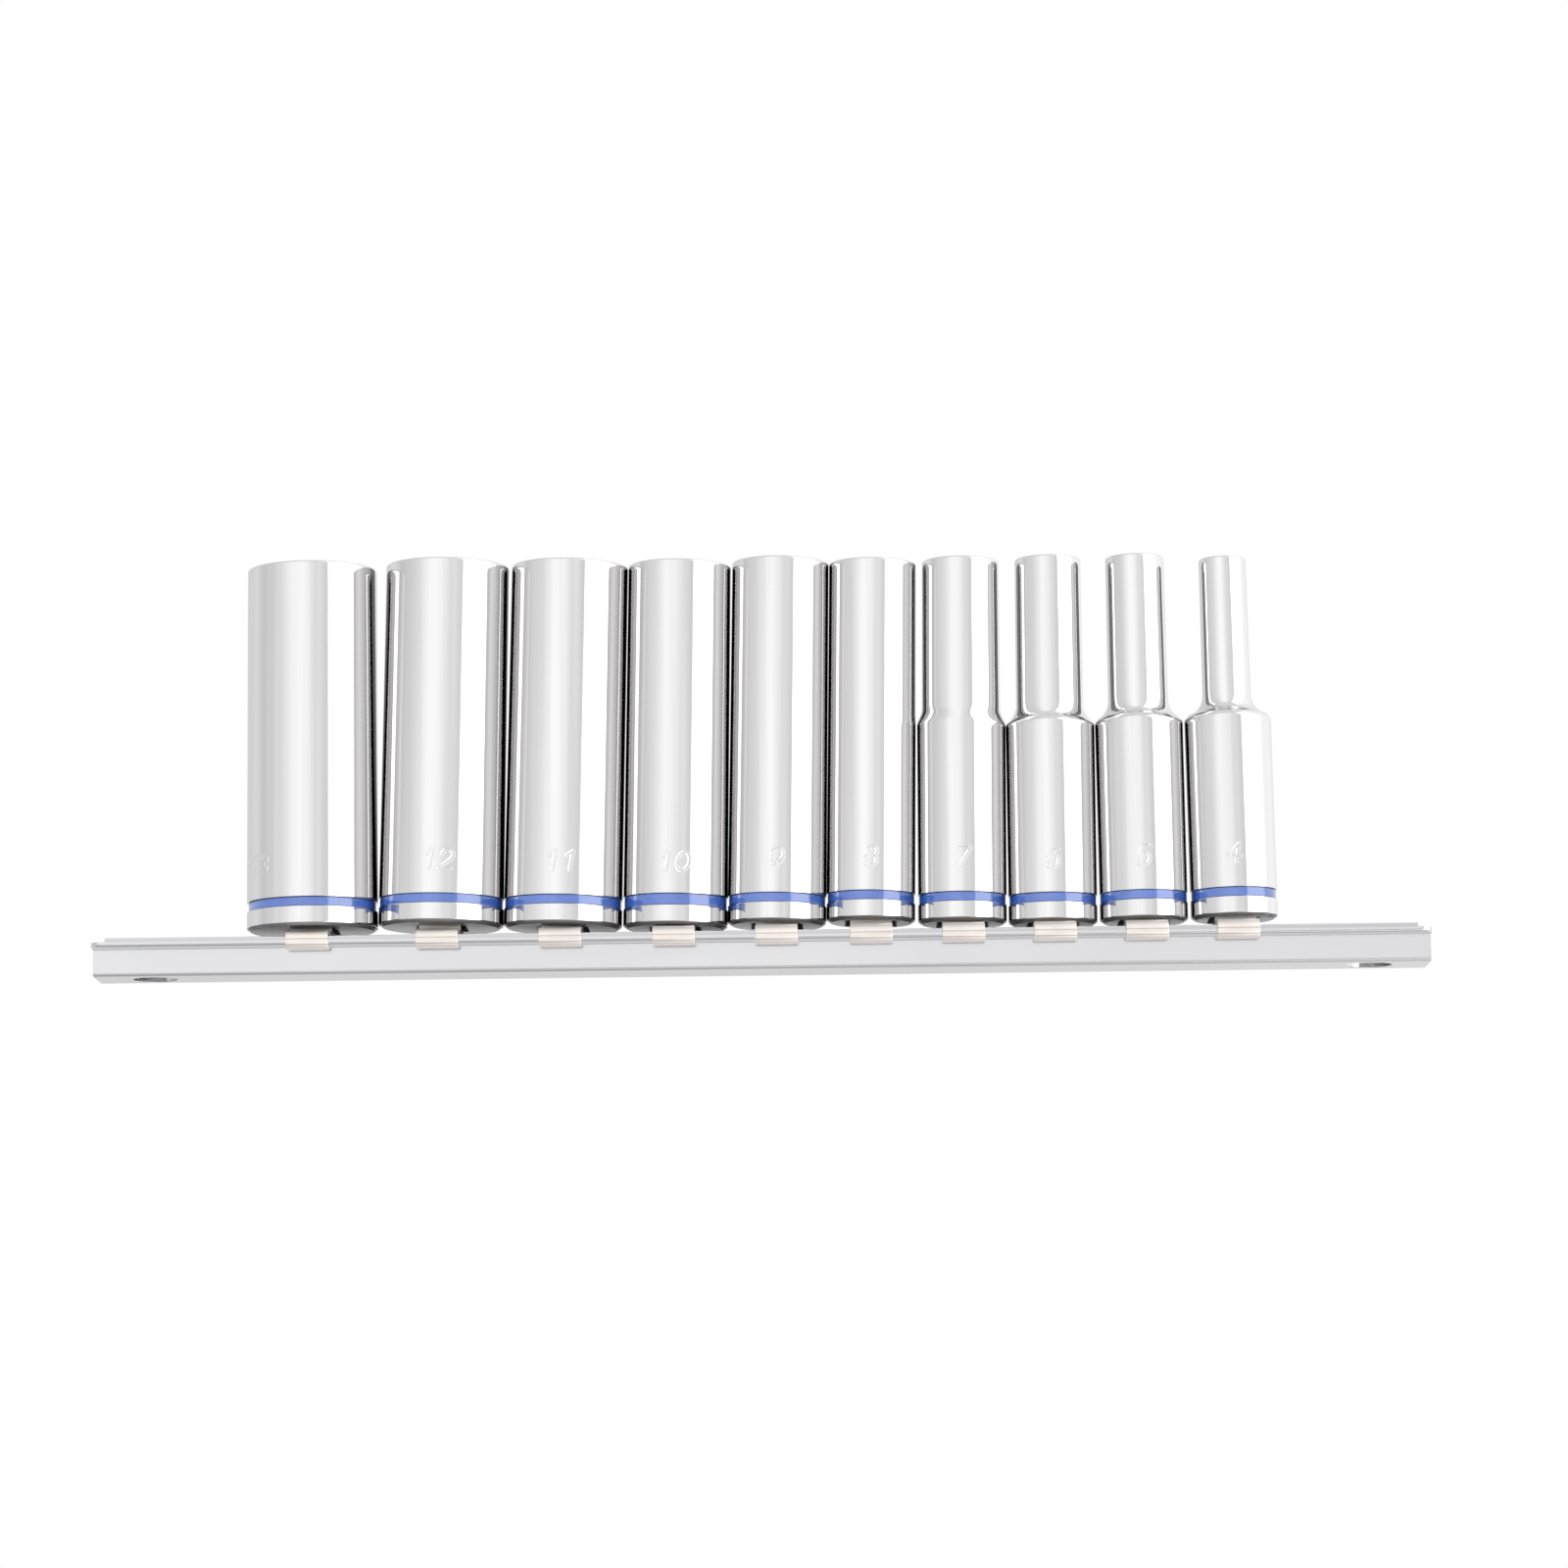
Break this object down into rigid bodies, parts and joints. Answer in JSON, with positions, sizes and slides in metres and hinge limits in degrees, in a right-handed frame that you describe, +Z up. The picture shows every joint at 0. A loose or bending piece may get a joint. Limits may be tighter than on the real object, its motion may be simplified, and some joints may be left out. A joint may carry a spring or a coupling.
{
  "type": "socket rail",
  "caption": "Steel rail with sliding spring clips holding a graded row of deep square-drive sockets, each ringed by a blue band; the sockets pull off their studs.",
  "frame": {"origin": "middle of the rail's flat back, which is the lowest face", "axes": "+X along the rail towards the smallest socket, +Y from front to back across the rail, +Z up along the sockets"},
  "size_m": [0.18, 0.0178, 0.0564],
  "materials": {
    "rail_chrome": "bright plated steel sheet with a faint drawn grain",
    "socket_chrome": "polished plated steel",
    "spring_steel": "pale warm plated spring strip, satin",
    "blue_band": "smooth blue band"
  },
  "bodies": {
    "rail": {"rail": "rail_chrome"},
    "clip_13": {"clip_13": "spring_steel"},
    "socket_13": {"socket_13": "socket_chrome", "band_13": "blue_band"},
    "clip_12": {"clip_12": "spring_steel"},
    "socket_12": {"socket_12": "socket_chrome", "band_12": "blue_band"},
    "clip_11": {"clip_11": "spring_steel"},
    "socket_11": {"socket_11": "socket_chrome", "band_11": "blue_band"},
    "clip_10": {"clip_10": "spring_steel"},
    "socket_10": {"socket_10": "socket_chrome", "band_10": "blue_band"},
    "clip_9": {"clip_9": "spring_steel"},
    "socket_9": {"socket_9": "socket_chrome", "band_9": "blue_band"},
    "clip_8": {"clip_8": "spring_steel"},
    "socket_8": {"socket_8": "socket_chrome", "band_8": "blue_band"},
    "clip_7": {"clip_7": "spring_steel"},
    "socket_7": {"socket_7": "socket_chrome", "band_7": "blue_band"},
    "clip_6": {"clip_6": "spring_steel"},
    "socket_6": {"socket_6": "socket_chrome", "band_6": "blue_band"},
    "clip_5": {"clip_5": "spring_steel"},
    "socket_5": {"socket_5": "socket_chrome", "band_5": "blue_band"},
    "clip_4": {"clip_4": "spring_steel"},
    "socket_4": {"socket_4": "socket_chrome", "band_4": "blue_band"}
  },
  "joints": [
    {"name": "clip_9_slide", "type": "slide", "parent": "rail", "child": "clip_9", "axis": [-1, 0, 0], "range_m": [0, 0.0048]},
    {"name": "clip_10_slide", "type": "slide", "parent": "clip_9", "child": "clip_10", "axis": [-1, 0, 0], "range_m": [0, 0.0048]},
    {"name": "clip_11_slide", "type": "slide", "parent": "clip_10", "child": "clip_11", "axis": [-1, 0, 0], "range_m": [0, 0.0048]},
    {"name": "clip_12_slide", "type": "slide", "parent": "clip_11", "child": "clip_12", "axis": [-1, 0, 0], "range_m": [0, 0.0048]},
    {"name": "clip_13_slide", "type": "slide", "parent": "clip_12", "child": "clip_13", "axis": [-1, 0, 0], "range_m": [0, 0.0048]},
    {"name": "clip_8_slide", "type": "slide", "parent": "rail", "child": "clip_8", "axis": [1, 0, 0], "range_m": [0, 0.0042]},
    {"name": "clip_7_slide", "type": "slide", "parent": "clip_8", "child": "clip_7", "axis": [1, 0, 0], "range_m": [0, 0.0042]},
    {"name": "clip_6_slide", "type": "slide", "parent": "clip_7", "child": "clip_6", "axis": [1, 0, 0], "range_m": [0, 0.0042]},
    {"name": "clip_5_slide", "type": "slide", "parent": "clip_6", "child": "clip_5", "axis": [1, 0, 0], "range_m": [0, 0.0042]},
    {"name": "clip_4_slide", "type": "slide", "parent": "clip_5", "child": "clip_4", "axis": [1, 0, 0], "range_m": [0, 0.0042]},
    {"name": "socket_13_lift", "type": "slide", "parent": "clip_13", "child": "socket_13", "axis": [-0.0017, 0, 1], "range_m": [0, 0.06]},
    {"name": "socket_12_lift", "type": "slide", "parent": "clip_12", "child": "socket_12", "axis": [0.0209, 0, 0.9998], "range_m": [0, 0.06]},
    {"name": "socket_11_lift", "type": "slide", "parent": "clip_11", "child": "socket_11", "axis": [0.0248, 0, 0.9997], "range_m": [0, 0.06]},
    {"name": "socket_10_lift", "type": "slide", "parent": "clip_10", "child": "socket_10", "axis": [0.0201, 0, 0.9998], "range_m": [0, 0.06]},
    {"name": "socket_9_lift", "type": "slide", "parent": "clip_9", "child": "socket_9", "axis": [0.0201, 0, 0.9998], "range_m": [0, 0.06]},
    {"name": "socket_8_lift", "type": "slide", "parent": "clip_8", "child": "socket_8", "axis": [0.0175, 0, 0.9998], "range_m": [0, 0.06]},
    {"name": "socket_7_lift", "type": "slide", "parent": "clip_7", "child": "socket_7", "axis": [0.0087, 0, 1], "range_m": [0, 0.06]},
    {"name": "socket_6_lift", "type": "slide", "parent": "clip_6", "child": "socket_6", "axis": [0.0017, 0, 1], "range_m": [0, 0.06]},
    {"name": "socket_5_lift", "type": "slide", "parent": "clip_5", "child": "socket_5", "axis": [-0.007, 0, 1], "range_m": [0, 0.06]},
    {"name": "socket_4_lift", "type": "slide", "parent": "clip_4", "child": "socket_4", "axis": [-0.0122, 0, 0.9999], "range_m": [0, 0.06]}
  ]
}
